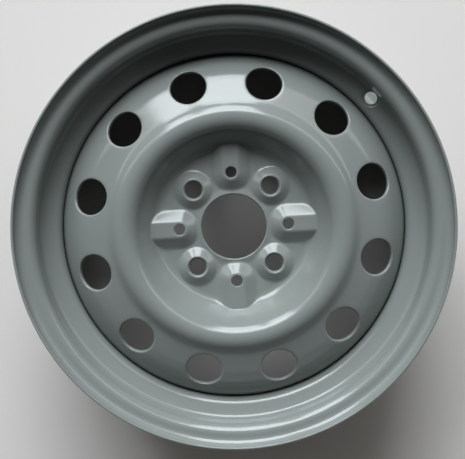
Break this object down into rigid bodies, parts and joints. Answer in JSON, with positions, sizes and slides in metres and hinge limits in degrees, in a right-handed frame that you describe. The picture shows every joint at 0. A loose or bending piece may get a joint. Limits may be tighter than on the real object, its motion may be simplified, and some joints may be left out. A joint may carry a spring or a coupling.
{
  "type": "steel car wheel",
  "caption": "Pressed-steel disc wheel for a car: a rolled drop-centre rim with a dished, vented disc welded into its well, under gloss grey enamel.",
  "frame": {"origin": "centre of the wheel's bore in the plane of the hub face", "axes": "+Z along the axle towards the outboard side, +X through a guide-pin hole; the wheel lies flat on its inboard flange"},
  "size_m": [0.3894, 0.3892, 0.1637],
  "materials": {
    "grey_enamel": "gloss"
  },
  "bodies": {
    "root": {"rim": "grey_enamel", "wheel_disc": "grey_enamel", "weld_beads": "grey_enamel"}
  },
  "joints": []
}
